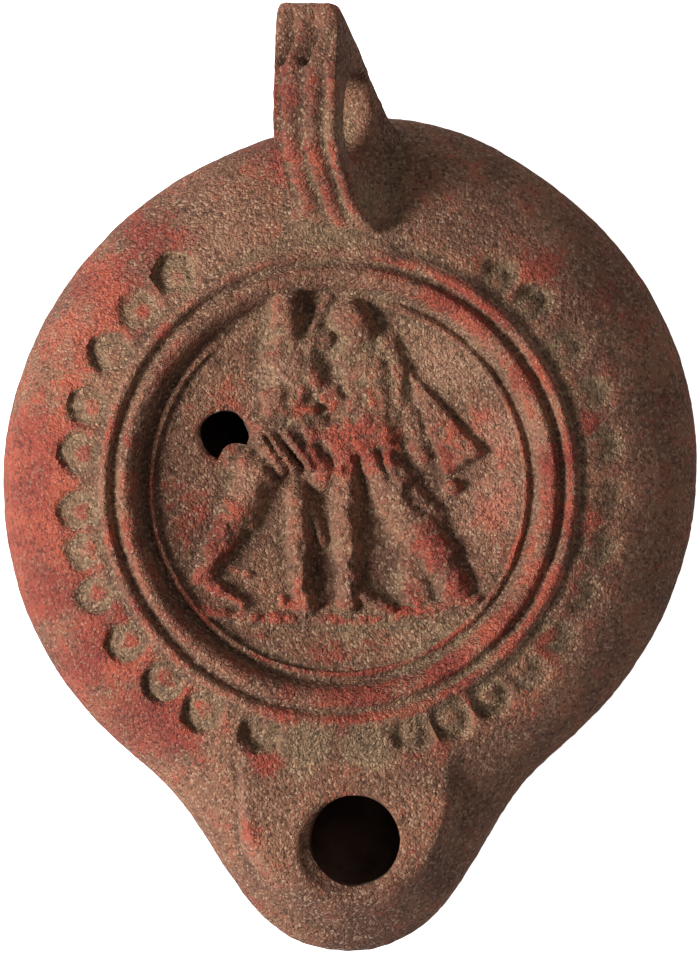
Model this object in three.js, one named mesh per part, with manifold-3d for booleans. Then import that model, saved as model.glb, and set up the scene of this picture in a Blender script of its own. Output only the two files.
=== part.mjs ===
// A Roman oil lamp of red-slipped clay, pressed in a two-part mould: a round, closed oil chamber with a dished
// picture disc in its top, a short rounded nozzle, and an upright pierced handle that leans to one side.
//
// Millimetres, +Z up. The lamp stands on its flat base at z = 0, with the middle of the base at the origin.
// The nozzle points to -Y, the handle to +Y. Angles are turned from +X towards +Y.
import * as THREE from "three";
import { mergeVertices } from "three/addons/utils/BufferGeometryUtils.js";
import Module from "manifold-3d";

const wasm = await Module();
wasm.setup();

// ---- Driving dimensions -------------------------------------------------------------------------------------

// The outline seen from above: a slightly oval body, drawn out into the nozzle.
const bodyRadius = 42.1;
const ovalExcess = 0.65; // how far the body bulges to its right back and left front
const nozzleReach = 15.5; // how far the nozzle stands out of the body
const nozzleHalfAngle = THREE.MathUtils.degToRad(20.2);
const nozzleFullness = 2.4;
const swelling = 1.5; // where the handle was pressed on
const swellingAngle = THREE.MathUtils.degToRad(80);
const swellingHalfAngle = THREE.MathUtils.degToRad(19);

// Heights of the vessel
const footRadius = 20.5;
const footHeight = 1.2;
const seamHeight = 15; // where the two mould halves meet, at the widest place
const shoulderHeight = 27.2; // where the shoulder reaches the rings
const wall = 3.8;

const shoulderStart = THREE.MathUtils.degToRad(28); // how far the shoulder already slopes at the rings
const undersideStart = THREE.MathUtils.degToRad(20);

// The picture disc lies a little to the left and front of the body's middle.
const discCentre = new THREE.Vector2(-1.4, -1.3);
const middle = new THREE.Vector2(0, 0);
const shoulderRadius = 28.8; // outside the rings
const floorRadius = 22.3;
const floorHeight = 21.9; // at the lowest place of the dish
const floorRise = 2.4; // from there to the floor's edge

// The nozzle's flat top and the two holes
const tableCentre = new THREE.Vector2(-0.4, -40);
const tableRadius = 13.4;
const tableHeight = 25.5; // over its centre
const tableFall = THREE.MathUtils.degToRad(5);
const tableDepth = 4;
const tableBevel = 0.8;
const wickHole = { x: 0.6, y: -44.2, radius: 5.5 };
const fillingHole = { x: -15.2, y: 5.0, radius: 2.97 };

// The handle, a plate pierced from side to side, stated from the middle of its hole
const handleHole = { x: -2.8, y: 43.2, z: 29.5, radius: 5.4 };
const handleThickness = 8.2;
const handleLean = THREE.MathUtils.degToRad(18); // its top leans to -X

// The row of egg-shaped stamps on the shoulder
const eggPitch = (2 * Math.PI) / 33;
const eggRing = 31; // from the middle of the disc
const eggsPerSide = 12;

// ---- Helpers ------------------------------------------------------------------------------------------------

function solidOf(geometry) {
  const bare = geometry.clone();
  bare.deleteAttribute("normal");
  bare.deleteAttribute("uv");
  const merged = mergeVertices(bare, 1e-4);
  return new wasm.Manifold(
    new wasm.Mesh({
      numProp: 3,
      vertProperties: merged.attributes.position.array,
      triVerts: new Uint32Array(merged.index.array),
    }),
  );
}

function geometryOf(solid) {
  const mesh = solid.getMesh();
  const geometry = new THREE.BufferGeometry();
  geometry.setAttribute("position", new THREE.BufferAttribute(mesh.vertProperties, 3));
  geometry.setIndex(new THREE.BufferAttribute(mesh.triVerts, 1));
  geometry.computeVertexNormals();
  return geometry;
}

// Moves each point of a geometry to where place(point, index) puts it.
function reshape(geometry, place) {
  const position = geometry.getAttribute("position");
  const point = new THREE.Vector3();
  for (let i = 0; i < position.count; i++) {
    place(point.fromBufferAttribute(position, i), i);
    position.setXYZ(i, point.x, point.y, point.z);
  }
  return geometry;
}

// A turned solid standing on +Z, from rows of [radius, height] that start and end on the axis.
function turned(rows, segments) {
  const profile = rows.map(([radius, height]) => new THREE.Vector2(radius, height));
  return new THREE.LatheGeometry(profile, segments).rotateX(Math.PI / 2);
}

// Rows of a quarter oval from [r0, z0] to [r1, z1], steepest at the second one.
// It starts part of the way round, so the first row is already sloping.
function quarterOval([r0, z0], [r1, z1], startAngle, steps) {
  const rows = [];
  for (let i = 0; i <= steps; i++) {
    const turn = THREE.MathUtils.lerp(startAngle, Math.PI / 2, i / steps);
    const across = (Math.sin(turn) - Math.sin(startAngle)) / (1 - Math.sin(startAngle));
    const up = 1 - Math.cos(turn) / Math.cos(startAngle);
    rows.push([THREE.MathUtils.lerp(r0, r1, across), THREE.MathUtils.lerp(z0, z1, up)]);
  }
  return rows;
}

// ---- The vessel ---------------------------------------------------------------------------------------------

function angleBetween(a, b) {
  return Math.abs(Math.atan2(Math.sin(a - b), Math.cos(a - b)));
}

function outlineRadius(angle) {
  const offNozzle = angleBetween(angle, -Math.PI / 2) / nozzleHalfAngle;
  const offHandle = angleBetween(angle, swellingAngle) / swellingHalfAngle;
  const oval = ovalExcess * Math.cos(2 * (angle - Math.PI / 4));
  const nozzle = nozzleReach * Math.exp(-(offNozzle ** nozzleFullness));
  return bodyRadius + oval + nozzle + swelling * Math.exp(-(offHandle ** 2));
}

// Draws a turned shape out to the lamp's outline. Inside innerRadius it stays round about centre. From there to
// the full radius it spreads out to meet the outline, less inset. Its segments are gathered towards the nozzle,
// where the outline bends most.
function drawnOut(point, innerRadius, centre, inset) {
  const radius = Math.hypot(point.x, point.y);
  const even = Math.atan2(point.y, point.x);
  const angle = even - 0.4 * Math.cos(even);
  const share = Math.max(0, (radius - innerRadius) / (bodyRadius - inset - innerRadius));
  const round = Math.min(radius, innerRadius);
  const reach = outlineRadius(angle) - inset;
  point.x = THREE.MathUtils.lerp(centre.x + round * Math.cos(angle), reach * Math.cos(angle), share);
  point.y = THREE.MathUtils.lerp(centre.y + round * Math.sin(angle), reach * Math.sin(angle), share);
}

// The height of the shoulder over a point: the share of the way from the rings to the outline is found in a few
// steps, because the centre of the turning moves with it.
function shoulderZ(x, y) {
  let share = 0;
  for (let step = 0; step < 8; step++) {
    const dx = x - discCentre.x * (1 - share);
    const dy = y - discCentre.y * (1 - share);
    const beyond = Math.hypot(dx, dy) - shoulderRadius;
    share = THREE.MathUtils.clamp(beyond / (outlineRadius(Math.atan2(dy, dx)) - shoulderRadius), 0, 1);
  }
  const sine = THREE.MathUtils.lerp(Math.sin(shoulderStart), 1, share);
  const rise = (shoulderHeight - seamHeight) / Math.cos(shoulderStart);
  return seamHeight + rise * Math.sqrt(1 - sine * sine);
}

function onShoulder(geometry) {
  return reshape(geometry, (point) => (point.z += shoulderZ(point.x, point.y)));
}

function floorZ(x, y) {
  return floorHeight + floorRise * ((x * x + y * y) / (floorRadius * floorRadius));
}

function outerVessel() {
  const base = [
    [0, 0],
    [14.8, 0],
    [15.7, 0.6],
    [16.6, 0],
    [footRadius - 0.5, 0],
  ];
  const underside = quarterOval([footRadius, footHeight], [bodyRadius, seamHeight], undersideStart, 3);
  const shoulder = quarterOval([shoulderRadius, shoulderHeight], [bodyRadius, seamHeight], shoulderStart, 5);
  const rings = [
    [28.1, 27.8],
    [27.2, 26.9],
    [26.2, 27.9],
    [25.2, 27.4],
    [23.5, 24.6],
    [22.9, 24.9],
    [floorRadius, floorZ(floorRadius, 0)],
  ];
  const floor = [14, 0].map((radius) => [radius, floorZ(radius, 0)]);
  const rows = [...base, ...underside, ...shoulder.reverse().slice(1), ...rings, ...floor];
  const firstShoulderRow = base.length + underside.length;
  return reshape(turned(rows, 60), (point, i) => {
    const upper = i % rows.length >= firstShoulderRow;
    if (upper) drawnOut(point, shoulderRadius, discCentre, 0);
    else drawnOut(point, footRadius, middle, 0);
  });
}

function oilChamber() {
  const ceilingEdge = [27.5, 22.6];
  const floorEdge = [14, 4.5];
  const widest = [bodyRadius - wall, seamHeight];
  const lower = quarterOval(floorEdge, widest, undersideStart, 3);
  const upper = quarterOval(ceilingEdge, widest, shoulderStart, 3).reverse();
  const ceiling = [22, 11, 0].map((radius) => [radius, floorZ(radius, 0) - wall]);
  const rows = [[0, floorEdge[1]], ...lower, ...upper.slice(1), ...ceiling];
  const firstUpperRow = 1 + lower.length;
  return reshape(turned(rows, 32), (point, i) => {
    const above = i % rows.length >= firstUpperRow;
    if (above) drawnOut(point, ceilingEdge[0], discCentre, wall);
    else drawnOut(point, floorEdge[0], middle, wall);
  });
}

// The flat tongue on top of the nozzle, which falls gently forward and ends in a half circle round the wick hole.
function nozzleTable() {
  const round = tableRadius - tableBevel;
  const back = 7;
  const shape = new THREE.Shape();
  shape.moveTo(-round, back);
  shape.lineTo(-round, 0);
  shape.absarc(0, 0, round, Math.PI, 2 * Math.PI);
  shape.lineTo(round, back);
  const table = new THREE.ExtrudeGeometry(shape, {
    depth: tableDepth,
    curveSegments: 18,
    bevelSize: tableBevel,
    bevelThickness: tableBevel,
    bevelSegments: 2,
  });
  table.translate(0, 0, -tableDepth - tableBevel).rotateX(tableFall);
  return table.translate(tableCentre.x, tableCentre.y, tableHeight);
}

// ---- The handle ---------------------------------------------------------------------------------------------

// The plate's edge as a rounded polygon: each side is a direction from the hole's middle and a distance.
const handleSides = [
  [137, 8.9], // the front edge, rising from the shoulder
  [85, 9.4], // the top
  [-37.8, 7.8], // the back edge, running down and forward to the body
  [215, 14.5],
  [270, 13],
].map(([degrees, distance]) => [THREE.MathUtils.degToRad(degrees), distance]);
const handleSharpness = 12;

function handleReach(angle) {
  const sum = handleSides.reduce((total, [direction, distance]) => {
    return total + Math.max(0, Math.cos(angle - direction) / distance) ** handleSharpness;
  }, 0);
  return sum ** (-1 / handleSharpness);
}

// The plate's section, as [share of the way from the hole to the edge, share of the half thickness]. Two grooves
// run round the edge between three ribs.
const handleSection = [
  [0, 0],
  [0, -0.7],
  [0.08, -1],
  [0.85, -0.98],
  [0.97, -0.84],
  [1, -0.66],
  [0.9, -0.36],
  [1, -0.1],
  [1, 0.1],
  [0.9, 0.36],
  [1, 0.66],
  [0.97, 0.84],
  [0.85, 0.98],
  [0.08, 1],
  [0, 0.7],
  [0, 0],
];
const handleFlare = 0.6; // how much the plate thickens where it grows out of the shoulder
const flareHeight = 2.5;

function handle() {
  // The section is turned round the hole with its shares kept as radius and height, then given its real size.
  const profile = handleSection.map(([out, across]) => new THREE.Vector2(1 + out, across));
  const ring = new THREE.LatheGeometry(profile, 34);
  return reshape(ring, (point) => {
    const out = Math.hypot(point.x, point.z) - 1;
    const angle = Math.atan2(point.x, point.z);
    const reach = THREE.MathUtils.lerp(handleHole.radius, handleReach(angle), out);
    const along = reach * Math.cos(angle);
    const up = reach * Math.sin(angle);
    const surface = shoulderZ(handleHole.x, handleHole.y + along);
    const flare = 1 + handleFlare * out * Math.exp(-Math.max(0, handleHole.z + up - surface) / flareHeight);
    const across = point.y * (handleThickness / 2) * flare;
    point.x = handleHole.x + across * Math.cos(handleLean) - up * Math.sin(handleLean);
    point.y = handleHole.y + along;
    point.z = handleHole.z + across * Math.sin(handleLean) + up * Math.cos(handleLean);
  });
}

// ---- The shoulder's row of eggs -----------------------------------------------------------------------------

// A flattened ball, half along long, half across wide and half high thick, lying on the shoulder at an angle
// round the disc, with its middle lift above the surface.
function shoulderBall(angle, [along, across, high], lift, sides) {
  const ball = new THREE.SphereGeometry(1, sides, 4).rotateX(Math.PI / 2);
  ball.scale(along, across, high).translate(eggRing, 0, lift).rotateZ(angle).translate(discCentre.x, discCentre.y, 0);
  return onShoulder(ball);
}

function eggAngles() {
  const angles = [];
  for (let i = 0; i < eggsPerSide; i++) {
    angles.push(THREE.MathUtils.degToRad(131) + i * eggPitch);
    angles.push(THREE.MathUtils.degToRad(52) - i * eggPitch);
  }
  return angles;
}

// ---- The picture: two fighters on a ground line -------------------------------------------------------------

// A rounded limb lying on the disc, from one end's [x, y, radius] to the other's. It stands depth times its
// radius out of the floor.
function limb(from, to, depth) {
  const start = new THREE.Vector2(from[0], from[1]);
  const way = new THREE.Vector2(to[0], to[1]).sub(start);
  const length = way.length();
  const endRows = [90, 50, 10].map(THREE.MathUtils.degToRad);
  const tail = endRows.map((a) => new THREE.Vector2(from[2] * Math.cos(a), -from[2] * Math.sin(a)));
  const tip = endRows.map((a) => new THREE.Vector2(to[2] * Math.cos(a), length + to[2] * Math.sin(a)));
  tail[0].x = 0;
  tip[0].x = 0;
  const body = new THREE.LatheGeometry([...tail, ...tip.reverse()], 7);
  body.rotateZ(way.angle() - Math.PI / 2).scale(1, 1, depth).translate(start.x, start.y, 0);
  return onFloor(body);
}

function onFloor(geometry) {
  reshape(geometry, (point) => (point.z += floorZ(point.x, point.y)));
  return geometry.translate(discCentre.x, discCentre.y, 0);
}

const limbDepth = 0.6;
const trunkDepth = 0.46;
const leftFighter = [
  [[-7.6, 20.4, 1.7], [-7.1, 18.6, 2.0], trunkDepth], // head
  [[-6.6, 15.4, 3.0], [-5.0, 5.4, 3.6], trunkDepth], // trunk
  [[-5.0, 14.6, 1.5], [0.6, 10.2, 1.5], limbDepth], // leading arm
  [[-7.8, 3.4, 2.0], [-2.6, 2.2, 2.6], limbDepth], // skirt
  [[-7.3, 1.7, 2.6], [-10.8, -3.6, 2.1], limbDepth], // trailing thigh
  [[-10.8, -3.6, 2.1], [-14.8, -9.8, 1.5], limbDepth], // trailing shin
  [[-16.0, -10.8, 0.9], [-12.4, -13.0, 0.8], limbDepth], // trailing foot
  [[-4.6, -0.8, 1.9], [-4.8, -7.9, 1.5], limbDepth], // leading thigh
  [[-4.8, -7.9, 1.5], [-3.9, -13.8, 1.1], limbDepth], // leading shin
  [[-3.9, -14.3, 0.9], [-6.4, -14.5, 0.8], limbDepth], // leading foot
];
const rightFighter = [
  [[2.4, 18.6, 2.5], [3.0, 17.4, 2.5], trunkDepth], // head
  [[-0.4, 22.2, 0.8], [-2.4, 18.2, 0.9], limbDepth], // raised blade
  [[2.8, 13.6, 3.7], [3.4, 4.4, 4.0], trunkDepth], // trunk
  [[6.9, 15.0, 1.3], [7.3, 9.6, 1.5], limbDepth], // arm behind the shield
  [[0.4, 1.8, 2.8], [6.2, 1.2, 3.2], limbDepth], // skirt
  [[0.4, -1.5, 1.7], [0.9, -8.0, 1.3], limbDepth], // leading thigh
  [[0.9, -8.0, 1.3], [1.3, -14.0, 1.1], limbDepth], // leading shin
  [[6.6, -1.4, 2.8], [9.8, -6.2, 2.5], limbDepth], // trailing thigh
  [[9.8, -6.2, 2.5], [13.4, -11.4, 1.9], limbDepth], // trailing shin
  [[15.0, -12.4, 1.1], [9.8, -14.2, 1.0], limbDepth], // trailing foot
  [[14.1, -0.4, 0.9], [14.3, -0.7, 0.9], limbDepth], // hand under the shield
];
const shieldHeight = 1.1;

function shield() {
  const shape = new THREE.Shape();
  shape.moveTo(8.2, 13.9);
  shape.lineTo(9.3, 9.2);
  shape.lineTo(13.8, 1.5);
  shape.lineTo(17.4, 3.9);
  const panel = new THREE.ExtrudeGeometry(shape, {
    depth: shieldHeight,
    bevelSize: 0.5,
    bevelThickness: 0.4,
    bevelSegments: 1,
  });
  return onFloor(panel.translate(0, 0, -0.4));
}

function groundLine() {
  const bend = 56;
  const lowest = new THREE.Vector2(1, -16.1);
  const halfAngle = 0.3;
  const down = -Math.PI / 2;
  const shape = new THREE.Shape();
  shape.absarc(lowest.x, lowest.y + bend, bend + 0.6, down - halfAngle, down + halfAngle);
  shape.absarc(lowest.x, lowest.y + bend, bend - 0.6, down + halfAngle, down - halfAngle, true);
  const line = new THREE.ExtrudeGeometry(shape, { depth: 1, curveSegments: 8, bevelEnabled: false });
  return onFloor(line.translate(0, 0, -0.5));
}

// ---- Putting the lamp together ------------------------------------------------------------------------------

function upright(hole, low, high, segments) {
  const pin = new THREE.CylinderGeometry(hole.radius, hole.radius, high - low, segments);
  return pin.rotateX(Math.PI / 2).translate(hole.x, hole.y, (low + high) / 2);
}

// The straight mould line across the root of the nozzle
function nozzleGroove() {
  const groove = new THREE.CapsuleGeometry(0.75, 17, 2, 8, 4).rotateZ(Math.PI / 2);
  return onShoulder(groove.translate(-3, -32.2, 0.1));
}

const picture = [
  ...leftFighter.map((part) => limb(...part)),
  ...rightFighter.map((part) => limb(...part)),
  shield(),
  groundLine(),
];
let lamp = solidOf(outerVessel()).add(solidOf(nozzleTable())).add(solidOf(handle()));
for (const angle of eggAngles()) {
  lamp = lamp.subtract(solidOf(shoulderBall(angle, [2.8, 2.7, 0.8], 0, 8)));
  lamp = lamp.add(solidOf(shoulderBall(angle, [2.1, 1.8, 0.9], -0.6, 6)));
}
for (const piece of picture) lamp = lamp.add(solidOf(piece));
lamp = lamp.subtract(solidOf(nozzleGroove()));
lamp = lamp.subtract(solidOf(oilChamber()));
lamp = lamp.subtract(solidOf(upright(wickHole, 14, 30, 32)));
lamp = lamp.subtract(solidOf(upright(fillingHole, 14, 30, 24)));

const redSlippedClay = new THREE.MeshStandardMaterial({ color: 0x8f5a47, roughness: 0.85, metalness: 0 });
const lampMesh = new THREE.Mesh(geometryOf(lamp), redSlippedClay);
lampMesh.name = "lamp";

const oilLamp = new THREE.Group();
oilLamp.add(lampMesh);
export default oilLamp;
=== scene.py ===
from math import cos, hypot, pi, radians, sin, tan

import bpy
import numpy as np
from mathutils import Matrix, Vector, noise


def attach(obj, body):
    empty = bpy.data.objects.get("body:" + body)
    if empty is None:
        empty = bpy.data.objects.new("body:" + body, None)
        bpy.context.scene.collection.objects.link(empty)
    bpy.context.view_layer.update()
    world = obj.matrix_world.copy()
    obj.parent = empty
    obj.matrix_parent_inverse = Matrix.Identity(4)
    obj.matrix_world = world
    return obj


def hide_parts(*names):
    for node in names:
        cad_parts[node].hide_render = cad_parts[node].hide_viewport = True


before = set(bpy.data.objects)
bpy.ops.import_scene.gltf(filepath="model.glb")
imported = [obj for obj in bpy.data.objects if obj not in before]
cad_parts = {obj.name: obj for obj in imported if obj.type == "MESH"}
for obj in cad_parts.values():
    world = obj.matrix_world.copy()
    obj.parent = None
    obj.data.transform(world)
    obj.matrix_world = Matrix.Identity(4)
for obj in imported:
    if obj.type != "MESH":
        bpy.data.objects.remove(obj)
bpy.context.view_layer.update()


# ---- The vessel wall ----
# One fired clay wall pressed in two mould halves: a slightly oval body drawn out into a short nozzle,
# standing on a low foot. Sizes are in millimetres, the nozzle points to -Y, and the whole lamp is scaled to
# metres at the end.
BODY_RADIUS = 42.1
OVAL_EXCESS = 0.65
NOZZLE_REACH = 15.5
NOZZLE_HALF_ANGLE = radians(20.2)
NOZZLE_FULLNESS = 2.4
SWELLING = 1.5
SWELLING_ANGLE = radians(80)
SWELLING_HALF_ANGLE = radians(19)
FOOT_RADIUS = 20.5
FOOT_HEIGHT = 1.2
SEAM_HEIGHT = 15.0
SHOULDER_HEIGHT = 27.2
SHOULDER_RADIUS = 28.8
SHOULDER_START = radians(28)
UNDERSIDE_START = radians(20)
SHOULDER_ROWS = 44
UNDERSIDE_ROWS = 26
NOZZLE_CROWDING = 0.4


def smooth_step(low, high, value):
    share = np.clip((value - low) / (high - low), 0, 1)
    return share * share * (3 - 2 * share)


def worn(x, y, scale, seed):
    """Soft random lumps over the plan, from -1 to 1."""
    flat = zip(np.ravel(x) * scale, np.ravel(y) * scale)
    return np.array([noise.noise((u, v, seed)) for u, v in flat]).reshape(np.shape(x))


def angle_between(a, b):
    return np.abs(np.arctan2(np.sin(a - b), np.cos(a - b)))


def outline_radius(angle):
    off_nozzle = angle_between(angle, -pi / 2) / NOZZLE_HALF_ANGLE
    off_handle = angle_between(angle, SWELLING_ANGLE) / SWELLING_HALF_ANGLE
    oval = OVAL_EXCESS * np.cos(2 * (angle - pi / 4))
    nozzle = NOZZLE_REACH * np.exp(-(off_nozzle**NOZZLE_FULLNESS))
    return BODY_RADIUS + oval + nozzle + SWELLING * np.exp(-(off_handle**2))


def drawn_out(radius, even, inner_radius, centre, inset=0.0):
    """The plan position of a turned point, drawn out to the lamp's outline beyond inner_radius."""
    angle = even - NOZZLE_CROWDING * np.cos(even)  # points stand closer together round the nozzle
    share = np.maximum(0, (radius - inner_radius) / (BODY_RADIUS - inset - inner_radius))
    turned = np.minimum(radius, inner_radius)
    reach = outline_radius(angle) - inset
    x = (centre[0] + turned * np.cos(angle)) * (1 - share) + reach * np.cos(angle) * share
    y = (centre[1] + turned * np.sin(angle)) * (1 - share) + reach * np.sin(angle) * share
    return x, y


def quarter_oval(start, end, start_angle, steps):
    """Rows of [radius, height] round a quarter oval from start to end, without the first."""
    turn = np.linspace(start_angle, pi / 2, steps + 1)[1:]
    across = (np.sin(turn) - sin(start_angle)) / (1 - sin(start_angle))
    up = 1 - np.cos(turn) / cos(start_angle)
    radius = start[0] + (end[0] - start[0]) * across
    height = start[1] + (end[1] - start[1]) * up
    return np.stack([radius, height], axis=1)


widest = (BODY_RADIUS, SEAM_HEIGHT)
shoulder_rows = quarter_oval((SHOULDER_RADIUS, SHOULDER_HEIGHT), widest, SHOULDER_START, SHOULDER_ROWS)
underside_rows = quarter_oval((FOOT_RADIUS, FOOT_HEIGHT), widest, UNDERSIDE_START, UNDERSIDE_ROWS)
underside_rows = underside_rows[::-1][1:]
foot_rows = np.array(
    [
        [FOOT_RADIUS, FOOT_HEIGHT],
        [20.45, 0.8],
        [20.3, 0.4],
        [20.0, 0.1],
        [19.6, 0.0],
        [17.0, 0.0],
        [16.5, 0.15],
        [16.1, 0.45],
        [15.7, 0.6],
        [15.3, 0.45],
        [14.9, 0.15],
        [14.4, 0.0],
    ]
)

# ---- The rings round the picture ----
# A thin bead, a steep wall and two worn rings with a groove between them, turned into the mould round the
# dish. Each row of the profile is a radius and a height above the edge of the dish.
FLOOR_HEIGHT = 21.9
FLOOR_RISE = 2.4
RING_SOFTNESS = 0.13
PROFILE_STEP = 0.05
RING_PROFILE = [
    [21.4, 0.0],
    [21.9, 0.15],
    [22.3, 0.8],
    [22.7, 1.15],
    [23.1, 0.85],
    [23.5, 0.25],
    [23.8, 0.5],
    [24.2, 1.6],
    [24.7, 2.6],
    [25.3, 3.15],
    [26.0, 3.5],
    [26.5, 3.3],
    [27.0, 2.4],
    [27.45, 2.3],
    [27.95, 3.1],
    [28.4, 3.45],
    [28.8, 3.3],
    [29.4, 2.4],
    [30.4, 1.6],
]
RING_ROWS = 28


def ring_wear(x, y):
    return 0.28 * worn(x, y, 0.16, 41.0) + 0.14 * worn(x, y, 0.5, 43.0) + 0.08 * worn(x, y, 1.4, 47.0)


def ring_height(radius):
    fine = np.arange(20, 31, PROFILE_STEP)
    sharp = np.interp(fine, *np.array(RING_PROFILE).T)
    kernel = np.exp(-0.5 * (np.arange(-12, 13) * PROFILE_STEP / RING_SOFTNESS) ** 2)
    softened = np.convolve(np.pad(sharp, 12, mode="edge"), kernel / kernel.sum(), mode="valid")
    return FLOOR_HEIGHT + FLOOR_RISE + np.interp(radius, fine, softened)


# ---- The picture disc ----
# Two fighters face each other on a ground line, pressed from a worn mould. Every limb is a rounded bar
# between two points of the dish: x, y and radius at each end, measured from the disc's middle, and how high
# it stands.
DISC_CENTRE = (-1.4, -1.3)
FLOOR_RADIUS = 22.3
RELIEF = 2.1
LIMB_WIDENING = 1.5
LIMB_CROWN = 1.3
LEFT_FIGHTER = [
    (-6.3, 22.6, 2.0, -6.1, 20.6, 2.1, 1.5),  # head
    (-1.6, 22.8, 0.8, -3.0, 19.0, 0.7, 0.5),  # blade
    (-6.4, 18.4, 2.0, -5.6, 15.8, 2.9, 0.9),  # neck
    (-5.6, 15.0, 3.3, -4.9, 9.6, 3.6, 1.15),  # trunk
    (-7.4, 11.0, 1.6, -7.3, 10.0, 1.6, 1.45),  # chest
    (-4.6, 16.6, 1.6, -1.6, 17.6, 1.3, 0.8),  # raised arm
    (-3.0, 12.6, 1.6, -0.6, 10.8, 1.9, 1.2),  # leading arm
    (-8.3, 8.9, 0.8, -2.8, 9.3, 0.8, 1.35),  # belt
    (-8.4, 6.6, 1.9, 3.0, 5.8, 2.4, 1.1),  # skirt
    (-9.6, 5.6, 0.8, -6.9, 2.4, 0.8, 1.4),
    (-8.3, 6.2, 0.8, -5.2, 2.2, 0.8, 1.45),
    (-6.2, 6.2, 0.9, -3.2, 2.4, 0.9, 1.45),
    (-3.6, 5.0, 1.6, -1.6, 1.4, 1.7, 1.2),
    (-9.6, 1.8, 2.3, -12.2, -3.6, 2.0, 1.15),  # trailing thigh
    (-12.2, -3.6, 2.0, -16.0, -10.0, 1.4, 1.05),  # trailing shin
    (-16.9, -10.9, 0.9, -11.6, -14.2, 0.7, 0.7),  # trailing foot
    (-13.6, -9.4, 0.6, -11.0, -10.6, 0.5, 0.45),
    (-4.9, -1.2, 1.4, -4.7, -7.0, 1.3, 1.2),  # leading thigh
    (-4.7, -7.0, 1.3, -4.2, -14.0, 1.2, 1.1),  # leading shin
    (-6.6, -14.0, 0.8, -3.2, -14.4, 0.9, 0.65),  # leading foot
    (-3.8, -1.6, 0.9, -1.9, -6.6, 0.7, 0.65),  # hem behind the leg
]
RIGHT_FIGHTER = [
    (1.7, 20.3, 2.1, 2.4, 19.0, 2.2, 1.4),  # head
    (2.4, 16.2, 3.0, 3.6, 13.4, 3.6, 1.0),  # shoulders
    (3.4, 13.4, 3.7, 3.4, 6.0, 4.2, 1.2),  # trunk
    (5.6, 17.6, 1.5, 7.0, 12.6, 1.6, 0.8),  # back
    (7.0, 12.6, 1.6, 10.2, 4.0, 1.5, 0.7),
    (7.7, 14.4, 0.7, 7.6, 11.1, 0.8, 0.8),  # arm behind the shield
    (3.2, 4.6, 1.5, 5.4, 1.4, 1.6, 1.3),  # skirt folds
    (5.8, 3.6, 1.2, 7.6, 0.2, 1.4, 1.3),
    (0.6, 4.6, 1.8, 0.8, 0.8, 1.8, 1.2),
    (0.9, -0.6, 1.7, 1.1, -7.4, 1.5, 1.3),  # leading thigh
    (1.1, -7.4, 1.5, 1.4, -13.8, 1.3, 1.2),  # leading shin
    (2.4, -13.2, 1.0, 6.4, -14.9, 0.8, 0.9),  # leading foot
    (6.6, -0.2, 2.6, 9.6, -4.4, 2.8, 1.3),  # trailing thigh
    (9.6, -4.4, 2.8, 12.2, -8.6, 2.3, 1.25),
    (12.2, -8.6, 2.3, 14.2, -12.4, 1.9, 1.1),  # trailing shin
    (16.8, -13.6, 0.8, 7.6, -15.3, 0.8, 0.7),  # trailing foot
    (9.0, -9.4, 1.6, 9.8, -13.4, 1.6, 0.7),  # cloth behind the leg
    (13.8, 0.1, 0.95, 13.9, 0.0, 0.95, 1.0),  # hand under the shield
]
# Cuts between the folds and limbs: x, y to x, y, half width and depth.
CUT_DEPTH = 0.75
CUT_WIDENING = 1.25
PICTURE_CUTS = [
    (-4.1, 22.8, -4.0, 19.8, 0.9, 0.8),
    (4.2, 20.8, 5.6, 18.8, 0.55, 0.5),
    (-8.9, 4.8, -6.8, 2.2, 0.35, 0.45),
    (-7.3, 5.0, -5.0, 2.0, 0.35, 0.5),
    (-5.4, 3.9, -4.4, 2.3, 0.6, 0.7),
    (-3.6, 10.6, -0.4, 12.2, 0.45, 0.4),
    (-2.2, 8.6, 1.4, 8.4, 0.5, 0.45),
    (2.6, 12.9, 3.6, 9.2, 0.6, 0.5),
    (4.6, 4.4, 6.2, 1.0, 0.35, 0.65),
    (2.4, 3.6, 2.8, 0.6, 0.35, 0.5),
    (-2.4, -7.2, -1.9, -13.4, 0.9, 0.4),
    (4.6, -4.8, 6.2, -12.8, 1.0, 0.45),
    (6.2, 3.4, 9.0, -1.7, 0.5, 0.35),
    (9.0, -1.7, 13.3, -5.3, 0.5, 0.4),
    (13.3, -5.3, 17.0, -12.4, 0.5, 0.4),
    (9.2, -4.2, 11.4, -3.2, 0.3, 0.4),
    (10.0, -6.2, 12.4, -5.0, 0.3, 0.4),
    (8.6, 12.6, 18.6, 3.2, 0.5, 0.3),
    (-14.6, -7.0, -12.2, -8.2, 0.3, 0.2),
]
SHIELD_CORNERS = [(7.95, 15.2), (17.9, 4.0), (13.0, 1.1), (9.3, 9.4)]
SHIELD_HEIGHT = 2.0
GROUND_LINE = {"x": -2.0, "y": -16.1, "bend": 110.0, "half_width": 1.0, "height": 0.85, "half_length": 17.0}


def along_line(x, y, x0, y0, x1, y1):
    """How far along a stroke each point lies, as a share, and how far off it."""
    dx, dy = x1 - x0, y1 - y0
    share = np.clip(((x - x0) * dx + (y - y0) * dy) / (dx * dx + dy * dy), 0, 1)
    return share, np.hypot(x - x0 - share * dx, y - y0 - share * dy)


def soft_max(a, b, blend):
    overlap = np.maximum(blend - np.abs(a - b), 0)
    return np.maximum(a, b) + overlap * overlap / (4 * blend)


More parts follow.
